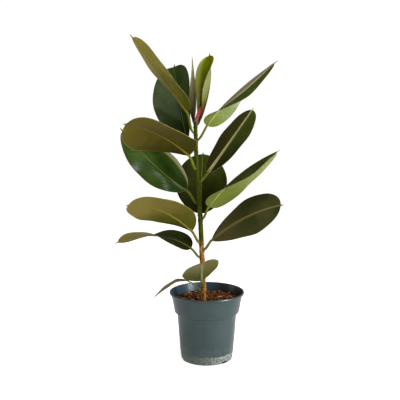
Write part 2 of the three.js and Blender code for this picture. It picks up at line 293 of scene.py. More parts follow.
# %% [markdown]
# ## The pot's plastic
#
# The plastic is a grey blue-green with a soft shine. Used pots are never clean: hard water
# leaves a chalky bloom, thickest in the foot's groove, and stacking leaves light rubs. The
# bloom could be painted on, but here it is masked by height and broken up with noise, so its
# upper edge wanders as a dried waterline does. The mask is a node group, because the thick
# chalk and the thin haze above it are the same effect with other values.

# %% Shared effect: chalky bloom
def bloom_group():
    """Masks a chalky bloom: 1 well below a height, 0 above it, with a ragged edge."""
    group = bpy.data.node_groups.new("chalky bloom", "ShaderNodeTree")
    group.interface.new_socket("Height", in_out="INPUT", socket_type="NodeSocketFloat")
    group.interface.new_socket("Ragged", in_out="INPUT", socket_type="NodeSocketFloat")
    group.interface.new_socket("Bloom", in_out="OUTPUT", socket_type="NodeSocketFloat")
    start = group.nodes.new("NodeGroupInput")
    end = group.nodes.new("NodeGroupOutput")
    height = height_of(group)
    wander = calculate(group, "SUBTRACT", speckle(group, 0.014), 0.5)
    wander = calculate(group, "MULTIPLY", wander, start.outputs["Ragged"])
    above = calculate(group, "SUBTRACT", calculate(group, "ADD", height, wander),
                      start.outputs["Height"])
    edge = stretch(group, above, 0.0, 0.0012, 1.0, 0.0)
    patches = stretch(group, speckle(group, 0.004, 8), 0.38, 0.6, 0.2, 1.0)
    group.links.new(calculate(group, "MULTIPLY", edge, patches), end.inputs["Bloom"])
    return group


BLOOM = bloom_group()


def bloom(tree, height, ragged):
    """The mask with its top at that height, in metres, give or take half as much as ragged."""
    return add(tree, "Group", {"Height": height, "Ragged": ragged},
               node_tree=BLOOM).outputs["Bloom"]


print("group:", BLOOM.name)

# %% [markdown]
# The same plastic looks different in three places. Inside, it has a painted reflection, bluer on
# the left, and painted shade, almost black, on the right, where no light gets in. Under the band
# there is a thin painted shadow line, where the wall steps back. And the foot is chalky, and the
# chalk is painted lighter on the right, where the light falls. Each could be a material of its
# own, but then the borders would follow the mesh. One material with masks can put them anywhere:
# the inside is found by asking whether the surface looks at the upright axis, and the rest by
# height.

# %% Plastic
BAND_FOOT, SHADOW_LINE_HALF = 0.1075, 0.0012    # the dark line under the band, in metres
CHALK_TOP, HAZE_TOP = 0.0185, 0.034


def facing_in(tree):
    """1 on the pot's inside wall, where the surface looks at the upright axis, else 0."""
    level = add(tree, "VectorMath", {0: place_of(tree), 1: (1, 1, 0)},
                operation="MULTIPLY").outputs[0]
    normal = add(tree, "NewGeometry").outputs["Normal"]
    outward = add(tree, "VectorMath", {0: level, 1: normal}, operation="DOT_PRODUCT").outputs[1]
    return stretch(tree, outward, -0.02, -0.01, 1.0, 0.0)


def plastic_finish():
    material, tree, shader = new_finish("pot plastic", Specular_IOR_Level=0.55)
    clouds = stretch(tree, speckle(tree, 0.05, 3, (1, 1, 0.35)), 0.35, 0.7)
    colour = mix(tree, clouds, paint(32, 54, 55), paint(40, 62, 62))
    rubs = stretch(tree, speckle(tree, 0.02, 8, (1, 1, 2.5)), 0.62, 0.74)
    colour = over(tree, colour, paint(96, 110, 108), rubs, 0.3)
    side = add(tree, "SeparateXYZ", {0: place_of(tree)}).outputs["X"]
    # painted reflection and shade inside the pot: bluer on the left, where the wall reflects the
    # light from the right, and almost black on the right, where no light gets in
    inside = mix(tree, stretch(tree, side, 0.0, 0.05), paint(44, 74, 90), paint(20, 22, 18))
    colour = over(tree, colour, inside, facing_in(tree))
    # a painted shadow: the thin dark line under the band, where the wall steps back
    line = add(tree, "Math", {0: height_of(tree), 1: BAND_FOOT, 2: SHADOW_LINE_HALF},
               operation="COMPARE").outputs[0]
    colour = over(tree, colour, paint(24, 40, 42), line, 0.5)
    colour = over(tree, colour, paint(88, 98, 96), bloom(tree, HAZE_TOP, 0.03), 0.2)
    chalk = bloom(tree, CHALK_TOP, 0.008)
    # the chalk is real, but its colour is painted darker on the left and lighter on the right,
    # where the light falls
    lime = mix(tree, stretch(tree, side, -0.02, 0.045), paint(96, 99, 92), paint(150, 156, 150))
    colour = over(tree, colour, lime, chalk)
    rough = stretch(tree, speckle(tree, 0.004, 3), 0.3, 0.7, 0.28, 0.37)
    rough = calculate(tree, "ADD", rough, calculate(tree, "MULTIPLY", chalk, 0.35))
    drive(tree, shader, Base_Color=colour, Roughness=rough)
    grain = calculate(tree, "ADD", speckle(tree, 0.0012, 2), chalk)
    bump(tree, shader, grain, 0.00015, 0.5)
    return material


PLASTIC = plastic_finish()
print("finish:", PLASTIC.name)

# %% [markdown]
# Now the pot itself. The section is spun, and three boxes are cut out of its bottom corner for
# the drain notches. The notches could be modelled into the spun mesh by hand, but a Boolean
# takes whole shapes away and keeps their edges crisp. Its result is kept for good, so the piece
# carries no hidden cutters.

# %% Spin the pot and cut its drain notches
POT_SIDES = 144
CRISP = 35                       # edges that bend by more degrees than this stay sharp
NOTCH_BEARINGS = (-46, 74, 194)
NOTCH_PLACE = 58.5               # how far the notches' middles are from the pot's axis
NOTCH_SIZE = (18, 16, 10)        # through the corner, along it, and twice the notch's height


def cut(piece, cutter):
    """Takes the cutter's shape out of the piece for good, and removes the cutter."""
    modifier = piece.modifiers.new("cut", "BOOLEAN")
    modifier.object, modifier.operation, modifier.solver = cutter, "DIFFERENCE", "EXACT"
    shown = piece.evaluated_get(bpy.context.evaluated_depsgraph_get())
    mesh = bpy.data.meshes.new_from_object(shown)
    piece.modifiers.clear()
    piece.data, old = mesh, piece.data
    bpy.data.meshes.remove(old)
    bpy.data.objects.remove(cutter)


def notch_boxes():
    bm = bmesh.new()
    for bearing in NOTCH_BEARINGS:
        turn = Matrix.Rotation(math.radians(bearing), 4, "Z")
        shape = Matrix.Translation((NOTCH_PLACE * MM, 0, 0)) @ Matrix.Diagonal(
            [side * MM for side in NOTCH_SIZE] + [1])
        bmesh.ops.create_cube(bm, size=1, matrix=turn @ shape)
    mesh = bpy.data.meshes.new("notches")
    bm.to_mesh(mesh)
    bm.free()
    cutter = bpy.data.objects.new("notches", mesh)
    scene.collection.objects.link(cutter)
    return cutter


pot = finish_piece("pot_shell", spun(pot_section(), POT_SIDES), [PLASTIC], "pot", CRISP)
cut(pot, notch_boxes())
pot.data.name = "pot_shell"
pot.data.set_sharp_from_angle(angle=math.radians(CRISP))
print("after the cuts:", len(pot.data.polygons), "faces")

# %% [markdown]
# ## The soil
#
# The potting mix is bark and coir: reddish granules of 2 to 6 mm, some paler bits of wood, a
# few long fibres and dark gaps. The bulk is one closed body. It could be a sculpted lump, but
# it has to fill the pot's wall exactly, so it is spun like the pot and then leaned over, so
# that its hole meets the stem, which stands off the pot's middle. Noise lifts its top into
# soft heaps.

# %% The soil's body
SOIL_TOP = 137
SOIL_RADIUS = 75.6
HOLE_CENTRE = (-7, -11)
HOLE_RADIUS = 6.9
HOLE_FLOOR = 62
SOIL_WALL = [(75.3, 135), (71.6, 113.4), (70.8, 111.4), (66.3, 109), (65, 104.4), (61.1, 52.4),
             (58.2, 20), (56.8, 5), (54, 2.9)]
SOIL_SIDES, SOIL_RINGS = 120, 44
HEAP_SIZE, HEAP_RISE = 21, 1.7
LUMP_SIZE, LUMP_RISE = 6, 1.1


def soil_height(x, y):
    """The height of the soil's top, in millimetres: soft heaps with small lumps on them."""
    heaps = noise.noise(Vector((x / HEAP_SIZE, y / HEAP_SIZE, 3.1)))
    lumps = noise.noise(Vector((x / LUMP_SIZE, y / LUMP_SIZE, 8.7)))
    return SOIL_TOP + HEAP_RISE * heaps + LUMP_RISE * lumps


def soil_bulk():
    """Spun from the hole's floor over the top and down the wall, then leaned to the stem."""
    top = [(lerp(HOLE_RADIUS, SOIL_RADIUS, k / SOIL_RINGS), SOIL_TOP)
           for k in range(SOIL_RINGS + 1)]
    hole = [(0, HOLE_FLOOR), (HOLE_RADIUS, HOLE_FLOOR)]
    bm = spun(hole + top + SOIL_WALL + [(0, SOIL_WALL[-1][1])], SOIL_SIDES)
    for vert in bm.verts:
        radius = vert.co.xy.length / MM
        lean = clamp((SOIL_RADIUS - radius) / (SOIL_RADIUS - HOLE_RADIUS))
        if vert.co.z / MM > HOLE_FLOOR - 1:
            vert.co.x += HOLE_CENTRE[0] * lean * MM
            vert.co.y += HOLE_CENTRE[1] * lean * MM
        if vert.co.z / MM > SOIL_TOP - 0.5:
            vert.co.z = soil_height(vert.co.x / MM, vert.co.y / MM) * MM
    return bm


print("the soil is", round(soil_height(30, 0), 1), "mm high at 30 mm from the middle")

# %% [markdown]
# Bark is dark and dull when damp, and each granule has a tone of its own: most are reddish
# brown, some are nearly black, and a few are pale bits of wood. Three thousand materials would
# do that, but one is enough. Each chip stores a random number in an attribute called tone, and
# the finish turns that number into a colour.

# %% Bark finishes
def soil_finish():
    material, tree, shader = new_finish("soil bulk", Specular_IOR_Level=0.2)
    lumps = stretch(tree, speckle(tree, 0.003, 6), 0.35, 0.65)
    drive(tree, shader, Base_Color=mix(tree, lumps, paint(22, 11, 4), paint(84, 44, 18)),
          Roughness=stretch(tree, lumps, 0, 1, 0.95, 0.8))
    bump(tree, shader, speckle(tree, 0.0015, 6), 0.0012)
    return material


def chip_finish(name, dark, light, pale):
    """Bark whose tone differs from chip to chip, by the attribute that each chip carries."""
    material, tree, shader = new_finish(name, Specular_IOR_Level=0.3)
    tone = add(tree, "Attribute", attribute_name="tone").outputs["Fac"]
    colour = mix(tree, stretch(tree, tone, 0.25, 0.85), dark, light)
    colour = mix(tree, stretch(tree, tone, 0.82, 0.95), colour, pale)
    fibres = stretch(tree, speckle(tree, 0.0009, 5, (1, 1, 3)), 0.3, 0.7)
    drive(tree, shader, Base_Color=over(tree, colour, paint(30, 15, 8), fibres, 0.4),
          Roughness=stretch(tree, fibres, 0, 1, 0.7, 0.95))
    bump(tree, shader, fibres, 0.0004)
    return material


SOIL = soil_finish()
CHIPS = chip_finish("bark chips", paint(26, 10, 3), paint(164, 82, 30), paint(252, 206, 126))
finish_piece("soil_bulk", soil_bulk(), [SOIL], "soil", sharp=60)

# %% [markdown]
# The loose top could be only a bumpy finish, but a low sun or a close camera would show that
# it is flat. So small chips are scattered over it, each a rough ball of only twenty faces, and
# a few bent fibres. The random numbers start from a fixed seed, so every run makes the same
# pot of soil.

# %% Scatter the chips
CHIP_COUNT = 3000
CHIP_HALVES = (1.1, 3.4)         # half the length of the smallest and of the longest
CHIP_DENT = 0.22                 # how far a corner may move, as a share of that half
FIBRE_COUNT = 150
FIBRE_LENGTHS = (7, 17)
FIBRE_RADII = (0.3, 0.75)


def spot_on_soil(chance, margin):
    """A random spot on the soil, clear of the stem and of the pot's wall."""
    while True:
        radius = (SOIL_RADIUS - margin) * math.sqrt(chance.random())
        bearing = chance.uniform(0, 2 * math.pi)
        x, y = radius * math.cos(bearing), radius * math.sin(bearing)
        if math.hypot(x - HOLE_CENTRE[0], y - HOLE_CENTRE[1]) > HOLE_RADIUS + margin * 0.6:
            return x, y


def random_turn(chance, tilt):
    """Any bearing, with a tilt from the level of up to that many degrees."""
    bearing = Quaternion((0, 0, 1), chance.uniform(0, 2 * math.pi))
    lean = Quaternion((1, 0, 0), math.radians(chance.uniform(-tilt, tilt)))
    return (bearing @ lean).to_matrix().to_4x4()


def add_chip(bm, tone, chance):
    """One chip: a ball of twenty faces, squashed, turned and dented."""
    x, y = spot_on_soil(chance, 3)
    half = chance.uniform(*CHIP_HALVES)
    sizes = (half, half * chance.uniform(0.5, 0.9), half * chance.uniform(0.35, 0.7))
    lift = soil_height(x, y) + chance.uniform(-0.2, 1.2)
    shape = Matrix.Translation(Vector((x, y, lift)) * MM) @ random_turn(chance, 40)
    shape = shape @ Matrix.Diagonal([size * MM for size in sizes] + [1])
    chip = bmesh.ops.create_icosphere(bm, subdivisions=1, radius=1, matrix=shape)["verts"]
    shade = chance.random()
    for vert in chip:
        vert[tone] = shade
        dent = [chance.uniform(-CHIP_DENT, CHIP_DENT) for _ in range(3)]
        vert.co += Vector(dent) * half * MM


def add_fibre(bm, tone, chance):
    """One bent coir fibre: a thin rod of five sides, laid on the soil."""
    x, y = spot_on_soil(chance, 9)
    length, thick = chance.uniform(*FIBRE_LENGTHS), chance.uniform(*FIBRE_RADII)
    arch, sway = chance.uniform(0.3, 1.6), chance.uniform(-2.5, 2.5)
    bearing = chance.uniform(0, 2 * math.pi)
    shade = chance.uniform(0.4, 1)
    new = rod(5, 6)
    for vert in new.verts:
        share = vert.co.z
        run = (share - 0.5) * length
        side = sway * math.sin(math.pi * share) + vert.co.x * thick
        px = x + run * math.cos(bearing) - side * math.sin(bearing)
        py = y + run * math.sin(bearing) + side * math.cos(bearing)
        up = soil_height(x, y) + 1.3 + arch * math.sin(math.pi * share) + vert.co.y * thick
        vert.co = Vector((px, py, up)) * MM
    bmesh.ops.recalc_face_normals(new, faces=new.faces)
    loose = bpy.data.meshes.new("fibre")
    new.to_mesh(loose)
    new.free()
    first = len(bm.verts)
    bm.from_mesh(loose)
    bm.verts.ensure_lookup_table()
    for vert in bm.verts[first:]:
        vert[tone] = shade
    bpy.data.meshes.remove(loose)


def scattered(add_one, count, seed):
    chance = random.Random(seed)
    bm = bmesh.new()
    tone = bm.verts.layers.float.new("tone")
    for _ in range(count):
        add_one(bm, tone, chance)
    return bm


finish_piece("bark_chips", scattered(add_chip, CHIP_COUNT, 17), [CHIPS], "soil", sharp=20)
finish_piece("coir_fibres", scattered(add_fibre, FIBRE_COUNT, 23), [CHIPS], "soil")

# %% [markdown]
# ## The stem
#
# A young rubber plant has one stem. Below, it has turned to tan bark with fine cracks; above,
# it is still green and smooth. At each node the stem swells a little, and a thin ring and a
# dark scar stay where a leaf and its sheath were. A stem could be a curve with a round bevel,
# but then it could not swell. A rod that is bent along the stem's course can. The course is a
# few points, joined smoothly.

# %% The stem's course
STEM_FOOT, STEM_TOP = 62.3, 540
STEM_FOOT_RADIUS, STEM_TOP_RADIUS = 6.4, 4.2
STEM_COURSE = [
    (-7, -11, STEM_FOOT), (-7, -11, SOIL_TOP), (-11, -10, 240), (-15, -8, 327), (-19, -6, 390),
    (-23, -4, 440), (-25, -1, 508), (-26, -1, STEM_TOP),
]
OLD_SCARS = [196, 219]


def slope(k):
    """The course's lean at its point k: how far x and y change with each millimetre up."""
    before = STEM_COURSE[max(k - 1, 0)]
    after = STEM_COURSE[min(k + 1, len(STEM_COURSE) - 1)]
    rise = after[2] - before[2]
    return Vector(((after[0] - before[0]) / rise, (after[1] - before[1]) / rise))


def stem_centre(height):
    """A smooth course through the points, in millimetres."""
    k = max(i for i in range(len(STEM_COURSE) - 1) if STEM_COURSE[i][2] <= height or i == 0)
    low, high = STEM_COURSE[k], STEM_COURSE[k + 1]
    rise = high[2] - low[2]
    t = (height - low[2]) / rise
    spot = (Vector(low[:2]) * (1 + 2 * t) * (1 - t) ** 2 + slope(k) * rise * t * (1 - t) ** 2
            + Vector(high[:2]) * t * t * (3 - 2 * t) + slope(k + 1) * rise * t * t * (t - 1))
    return Vector((spot.x, spot.y, height))


def stem_radius(height):
    rise = clamp((height - SOIL_TOP) / (STEM_TOP - SOIL_TOP))
    return lerp(STEM_FOOT_RADIUS, STEM_TOP_RADIUS, rise)


print("the stem leans", round(stem_centre(STEM_TOP).x - stem_centre(140).x, 1), "mm to the left")

# %% [markdown]
# ## The leaves' plan
#
# Every leaf is an oval blade on a round stalk. Its midrib runs from the base through a middle
# point to the tip, and the table says where those points are. The blade can be rolled about
# its midrib, and its two halves can fold up like a book or down like a tent. These few numbers
# are enough to tell fifteen leaves apart, and they are the CAD model's own.
#
# The next two entries name the finish of the upper side and of the underside. Young leaves are
# lime and bronze, grown ones are dark above and olive below. The two young leaves stand almost
# upright, so their tips don't tell which way they face, and a last entry gives their bearing.

# %% The leaves' numbers
LEAF_FIELDS = "node base mid tip width broad blunt roll fold wave upper under bearing".split()
LEAVES = {
    "leaf_01": (163, (-35, -25, 183), (-73, -33, 190), (-121, -42, 150), 48, 0.5, 0.5,
                (-8, -8, -8), (-6, -6, -6), 0.8, "dull", "grey"),
    "leaf_02": (172, (-12, -35, 190), (-12, -75, 222), (-10, -115, 251), 87, 0.5, 0.55,
                (-20, -21, -22), (8, 8, 8), 1, "dark", "grey"),
    "leaf_03": (238, (-36, -22, 261), (-115, -8, 287), (-209, 5, 266), 82, 0.42, 0.55,
                (31, -7, -45), (12, 8, 9), 1.2, "dark", "olive"),
    "leaf_04": (256, (11, -18, 279), (87, -50, 337), (163, -85, 369), 100, 0.6, 0.45,
                (-44, -50, -48), (-2, -4, -2), 1.5, "ribbed", "olive"),
    "leaf_05": (272, (-34, -28, 301), (-101, -96, 359), (-167, -160, 379), 98, 0.49, 0.45,
                (-29, -31, -44), (33, -3, 8), 1.2, "dark", "olive"),
    "leaf_06": (326, (4, -20, 355), (74, -30, 431), (160, -30, 482), 81, 0.42, 0.55,
                (62, 20, 28), (-10, -38, -36), 0.8, "dark", "bright"),
    "leaf_07": (338, (-13, 15, 334), (-12, 70, 404), (-8, 120, 464), 120, 0.47, 0.52,
                (0, 0, 0), (5, 5, 5), 1.2, "dark", "olive"),
    "leaf_08": (360, (-47, 5, 389), (-121, 40, 443), (-200, 70, 525), 103, 0.5, 0.55,
                (38, 35, 35), (5, 5, 5), 1.5, "glossy", "olive"),
    "leaf_09": (408, (3, 5, 429), (60, 45, 505), (109, 90, 570), 75, 0.5, 0.5,
                (-11, -10, -21), (0, -2, -1), 1.2, "light rib", "olive"),
    "leaf_10": (438, (-40, -25, 469), (-102, -108, 520), (-167, -190, 546), 122, 0.52, 0.42,
                (-23, -21, -46), (22, -16, -2), 1.5, "dark", "brown"),
    "leaf_11": (502, (0, -10, 534), (63, -15, 606), (154, -10, 675), 78, 0.42, 0.55,
                (62, 2, -18), (-5, -34, -10), 0.8, "two tone", "pale"),
    "leaf_12": (480, (-44, 14, 498), (-63, 74, 586), (-76, 126, 671), 122, 0.54, 0.45,
                (52, 50, 37), (32, 30, 25), 1, "waxy", "olive"),
    "leaf_13": (518, (-45, -10, 564), (-102, -25, 644), (-165, -40, 729), 80, 0.44, 0.52,
                (-16, -11, -30), (30, 6, 25), 1, "dark", "yellow"),
    "leaf_14": (535, (-17, 5, 542), (5, 0, 620), (5, 4, 691), 66, 0.64, 0.45,
                (25, 39, 10), (50, 60, 22), 0.5, "lime", "lime", 75),
    "leaf_15": (535, (-30, 8, 541), (-29, 11, 607), (-33, 8, 684), 26, 0.42, 0.8,
                (26, 26, 10), (54, 54, 80), 0.5, "bronze", "bronze", 100),
}


def leaf_plan(name):
    """The leaf's row with its fields named, and the level direction across it worked out."""
    leaf = dict(zip(LEAF_FIELDS, LEAVES[name]))
    run = Vector(leaf["tip"]) - Vector(leaf["base"])
    bearing = math.radians(leaf["bearing"]) if "bearing" in leaf else math.atan2(run.y, run.x)
    leaf["cross"] = Vector((math.sin(bearing), -math.cos(bearing), 0))
    leaf["length"] = run.length
    return leaf


print(len(LEAVES), "leaves")

# %% [markdown]
# ## Bark and green skin
#
# The colour change up the stem is not a straight line. Bark climbs in patches and leaves green
# islands, so the height is disturbed with noise before it picks the colour. The scars are rings
# at set heights. They are dark, so they are part of the same colour.

# %% Stem finish
NODES = sorted({row[0] for row in LEAVES.values()} | set(OLD_SCARS))


def stem_finish():
    material, tree, shader = new_finish("stem skin", Specular_IOR_Level=0.06,
                                        Specular_Tint=WAX_TINT)
    height = height_of(tree)
    patchy = calculate(tree, "SUBTRACT", speckle(tree, 0.012, 5, (1, 1, 0.4)), 0.5)
    age = calculate(tree, "ADD", height, calculate(tree, "MULTIPLY", patchy, 0.09))
    cracks = stretch(tree, speckle(tree, 0.0016, 6, (1, 1, 0.16)), 0.42, 0.62)
    bark = mix(tree, cracks, paint(200, 152, 82), paint(104, 44, 14))
    streaks = stretch(tree, speckle(tree, 0.003, 4, (1, 1, 0.12)), 0.35, 0.65)
    green = mix(tree, streaks, paint(60, 72, 6), paint(78, 86, 14))
    upper = mix(tree, stretch(tree, height, 0.36, 0.5), green, paint(58, 72, 7))
    skin = mix(tree, stretch(tree, age, 0.255, 0.3), bark, upper)
    ring = add(tree, "Attribute", attribute_name="ring").outputs["Fac"]
    skin = over(tree, skin, paint(62, 44, 14), ring, 0.75)
    dots = add(tree, "TexVoronoi", {"Vector": place_of(tree), "Scale": 260.0}).outputs["Distance"]
    pores = stretch(tree, dots, 0.12, 0.2, 1.0, 0.0)
    skin = over(tree, skin, paint(150, 140, 70), pores, 0.5)
    drive(tree, shader, Base_Color=skin, Roughness=stretch(tree, age, 0.25, 0.32, 0.8, 0.42))
    bump(tree, shader, calculate(tree, "SUBTRACT", pores, cracks), 0.0004, 0.8)
    return material


STEM_SKIN = stem_finish()
print("finish:", STEM_SKIN.name)

# %% [markdown]
# The stem's rod has a ring of vertices for every millimetre or so. Each one asks which node is
# nearest, and moves out a little just under it, where a real stem swells, and back in on the
# scar. Rings could be modelled one by one with loop cuts, but a formula treats all of them the
# same. The scar's place is also stored, for the finish above.

# %% The stem
STEM_SIDES, STEM_STEPS = 28, 420
SWELL, SWELL_BELOW, SWELL_HALF = 0.9, 5, 1.9     # the swelling under a node
DENT, SCAR_BELOW, SCAR_HALF = 0.35, 3.6, 0.6     # the scar above the swelling
RING_HALF = 0.7
MARKS_BELOW = 4.2                # the middle of both, which decides whose node is nearest
STEM_LUMPS = 0.22


def stem_piece():
    """A rod bent along the course. Its ring attribute is 1 on the thin scar at each node."""
    bm = rod(STEM_SIDES, STEM_STEPS)
    ring = bm.verts.layers.float.new("ring")
    for vert in bm.verts:
        height = lerp(STEM_FOOT, STEM_TOP, vert.co.z)
        nearest = min(NODES, key=lambda node: abs(node - MARKS_BELOW - height))
        vert[ring] = bell(height, nearest - SCAR_BELOW, RING_HALF)
        swell = SWELL * bell(height, nearest - SWELL_BELOW, SWELL_HALF)
        swell -= DENT * bell(height, nearest - SCAR_BELOW, SCAR_HALF)
        turn = math.atan2(vert.co.y, vert.co.x)
        lumps = noise.noise(Vector((math.cos(turn) * 1.3, math.sin(turn) * 1.3, height / 14)))
        radius = stem_radius(height) + swell + STEM_LUMPS * lumps
        outward = Vector((math.cos(turn), math.sin(turn), 0)) * min(vert.co.xy.length, 1)
        vert.co = (stem_centre(height) + outward * radius) * MM
    bmesh.ops.recalc_face_normals(bm, faces=bm.faces)
    return bm


finish_piece("stem_skin", stem_piece(), [STEM_SKIN], "stem", sharp=50)

# %% [markdown]
# ## How a leaf finds its place
#
# A blade is a grid whose x goes from -1 at one edge to 1 at the other, and whose y goes along
# the midrib. At each step along the midrib there is a frame: a direction across the blade and
# one out of its upper face. A point of the blade is that far across and that far up. A flat
# leaf could be bent with curve and lattice modifiers instead, but fifteen leaves would need
# fifteen sets of them, and one formula serves all.
#
# The stalk leaves the stem square to it, rises, and arrives in line with the midrib.

# %% Midrib and stalk curves
GAP = 0.3                        # from the stem's CAD surface to the start of the stalk
STALK_RADIUS = 2.9               # on a leaf that is FULL_WIDTH wide or wider
FULL_WIDTH = 90
STALK_FOOT_SCALE = 1.15
STALK_PULL = 0.22                # share of its reach that the stalk runs out before it bends
STALK_RISE = 0.62                # how much it rises there for each millimetre outwards
STALK_ARRIVE = 0.3               # share of its reach that it runs in line with the midrib
FOOT_END = 0.3                   # where along the stalk its section is square to its course


def along_curve(points, t):
    """The place and the direction on a Bezier curve of any number of points."""
    points = [Vector(point) for point in points]
    while len(points) > 2:
        points = [a.lerp(b, t) for a, b in zip(points, points[1:])]
    return points[0].lerp(points[1], t), (points[1] - points[0]).normalized()


def blade_curve(leaf):
    """The three points of a Bezier curve that runs through the row's base, mid and tip."""
    base, mid, tip = (Vector(leaf[key]) for key in ("base", "mid", "tip"))
    return base, 2 * mid - (base + tip) / 2, tip


def stalk_curve(leaf):
    """From the stem out and up to the base of the blade, and the way out of the stem."""
    centre = stem_centre(leaf["node"])
    base = Vector(leaf["base"])
    reach = (base - centre).length
    outward = (base - centre).to_2d().to_3d().normalized()
    start = centre + outward * (stem_radius(leaf["node"]) + GAP)
    run = reach * STALK_PULL
    pull = start + outward * run + Vector((0, 0, run * STALK_RISE))
    arrive = base - along_curve(blade_curve(leaf), 0)[1] * reach * STALK_ARRIVE
    return (start, pull, arrive, base), outward


def stalk_radius(leaf):
    return STALK_RADIUS * min(max(leaf["width"] / FULL_WIDTH, 0.5), 1)


def through(values, t):
    """The smooth course through a value at the start, in the middle and at the end."""
    start, middle, end = values
    return start * 2 * (t - 0.5) * (t - 1) + middle * 4 * t * (1 - t) + end * 2 * t * (t - 0.5)


def frame_on(points, t, cross, roll, outward=None):
    """Centre, direction across the blade, and direction out of its upper face."""
    centre, along = along_curve(points, t)
    if outward is not None:
        along = outward.lerp(along, clamp(t / FOOT_END)).normalized()
    right = (cross - along * cross.dot(along)).normalized()
    turn = Quaternion(along, math.radians(-roll))
    return centre, turn @ right, turn @ right.cross(along)


print("leaf_10's tip is at", [round(value) for value in blade_curve(leaf_plan("leaf_10"))[2]])

# %% [markdown]
# The outline is a sine raised to a power below one, which gives the blunt oval of a rubber
# leaf, and the last twenty-fifth narrows to the drip tip that sheds rain. The blade folds
# along its midrib and waves softly along its edge. An outline could be traced by hand for
# each leaf, but a leaf that twists away from the eye gives no clear outline to trace.

# %% Outline and lift of the blade
DRIP_HALF, DRIP_SHARE = 3.2, 0.04
EDGE_WAVES, WAVE_LAG = 2.5, 1.7


def half_width(leaf, t):
    """Half the blade's width at a share t of its length, in millimetres."""
    share = clamp(t / (1 - DRIP_SHARE))
    skew = math.log(0.5) / math.log(leaf["broad"])
    oval = leaf["width"] / 2 * max(math.sin(math.pi * share ** skew), 0) ** leaf["blunt"]
    return max(oval, 0.5 + DRIP_HALF * clamp((1 - t) / (DRIP_SHARE * 2)))


def fold_at(leaf, t):
    return math.radians(through(leaf["fold"], t))


def lift(leaf, across, t, half):
    """How far the blade stands above its midrib's plane: its fold and its wavy edge."""
    lag = 0 if across < 0 else WAVE_LAG
    wave = leaf["wave"] * math.sin(2 * math.pi * EDGE_WAVES * t + lag) * across ** 2
    return abs(across) * half * math.sin(fold_at(leaf, t)) + wave * math.sin(math.pi * t)


for name in ("leaf_04", "leaf_10"):
    plan = leaf_plan(name)
    print(name, "is", round(plan["length"]), "mm long and", plan["width"], "mm wide")

# %% [markdown]
# ## Veins
#
# A rubber leaf's side veins leave the midrib almost square and run straight, close together,
# to a vein that follows the edge. On the upper side they lie in faint furrows, and the gloss
# breaks into bars there. The furrows could be only a bump in the finish, but then the edge of
# the gloss would stay straight. So on the glossy leaves they are real relief in the mesh, a
# sixth of a millimetre deep. Each vertex also stores its vein phase, a number that grows by
# one from vein to vein, so the finish draws its lines exactly in the furrows.

# %% Vein phase and relief
VEIN_SPACING = 6.2
VEIN_LEAN = 0.32                 # how far a vein moves towards the tip for each mm outwards
VEIN_HOOK = 0.12                 # how much more it bends towards the tip near the edge
VEIN_SWAY = 0.25
FURROW_DEPTH = 0.16
GLOSSY = ("glossy", "waxy")      # the other upper sides have furrows of a tenth of that
RIB_FURROW, RIB_FURROW_HALF = 0.5, 1.6


def vein_phase(leaf, across, t, half):
    """Grows by one from vein to vein. The two halves of a leaf don't have theirs in step."""
    out = abs(across) * half
    curve = VEIN_LEAN * out + VEIN_HOOK * half * across ** 4
    side = 0.0 if across < 0 else 0.45
    sway = VEIN_SWAY * noise.noise(Vector((t * 9, side * 7, leaf["width"])))
    return (leaf["length"] * t - curve) / VEIN_SPACING + side + sway


def furrow(leaf, across, t, half):
    """How far the surface sinks along the veins and along the midrib."""
    near = abs(vein_phase(leaf, across, t, half) % 1 - 0.5) * 2
    reach = clamp((abs(across) - 0.04) / 0.1) * clamp((0.97 - abs(across)) / 0.12)
    rib = bell(across * half, 0, RIB_FURROW_HALF * (1 - 0.6 * t))
    depth = FURROW_DEPTH if leaf["upper"] in GLOSSY else FURROW_DEPTH * 0.1
    return depth * near ** 3 * reach + RIB_FURROW * rib


print("leaf_08 has about", round(leaf_plan("leaf_08")["length"] / VEIN_SPACING), "veins a side")

# %% [markdown]
# The blade starts as a flat grid from -1 to 1. Its rows are pushed together near the base, the
# tip and the two edges, where the outline curves most. A sheet has no thickness, so a Solidify
# modifier gives it one. It also hands the underside and the rim their own materials, which
# would be fiddly to assign face by face.

# %% Build one blade
BLADE_THICKNESS = 0.8
GRID_ACROSS, GRID_ALONG = 34, 170
EDGE_CROWDING = 0.35             # how much of each column's place comes from the crowded rule


def grid_place(x, y):
    """Share across (-1 to 1) and along (0 to 1) for a spot on the plain grid."""
    across = math.sin(x * math.pi / 2) * EDGE_CROWDING + x * (1 - EDGE_CROWDING)
    crowded = 0.5 - math.cos((y + 1) * math.pi / 2) / 2
    return across, round(crowded, 6) * 0.5 + (y + 1) / 4


def blade_bmesh(leaf):
    """A grid laid on the leaf. "place" holds metres across, share along, share to the edge."""
    bm = bmesh.new()
    bmesh.ops.create_grid(bm, x_segments=GRID_ACROSS, y_segments=GRID_ALONG, size=1)
    place = bm.verts.layers.float_vector.new("place")
    phase = bm.verts.layers.float.new("phase")
    curve = blade_curve(leaf)

    @functools.lru_cache(maxsize=None)
    def frame_at(t):
        return frame_on(curve, t, leaf["cross"], through(leaf["roll"], t)), half_width(leaf, t)

    for vert in bm.verts:
        across, t = grid_place(vert.co.x, vert.co.y)
        (centre, right, up), half = frame_at(t)
        vert[place] = (across * half * MM, t, abs(across))
        vert[phase] = vein_phase(leaf, across, t, half)
        rise = lift(leaf, across, t, half) - furrow(leaf, across, t, half)
        spread = across * half * math.cos(fold_at(leaf, t))
        vert.co = (centre + right * spread + up * rise) * MM
    return bm


def add_thickness(piece):
    """The grid is the upper face. The other face and the rim take the next two finishes."""
    wall = piece.modifiers.new("thickness", "SOLIDIFY")
    wall.thickness = BLADE_THICKNESS * MM
    wall.offset = 0
    wall.use_even_offset = True
    wall.material_offset = 1
    wall.material_offset_rim = 2


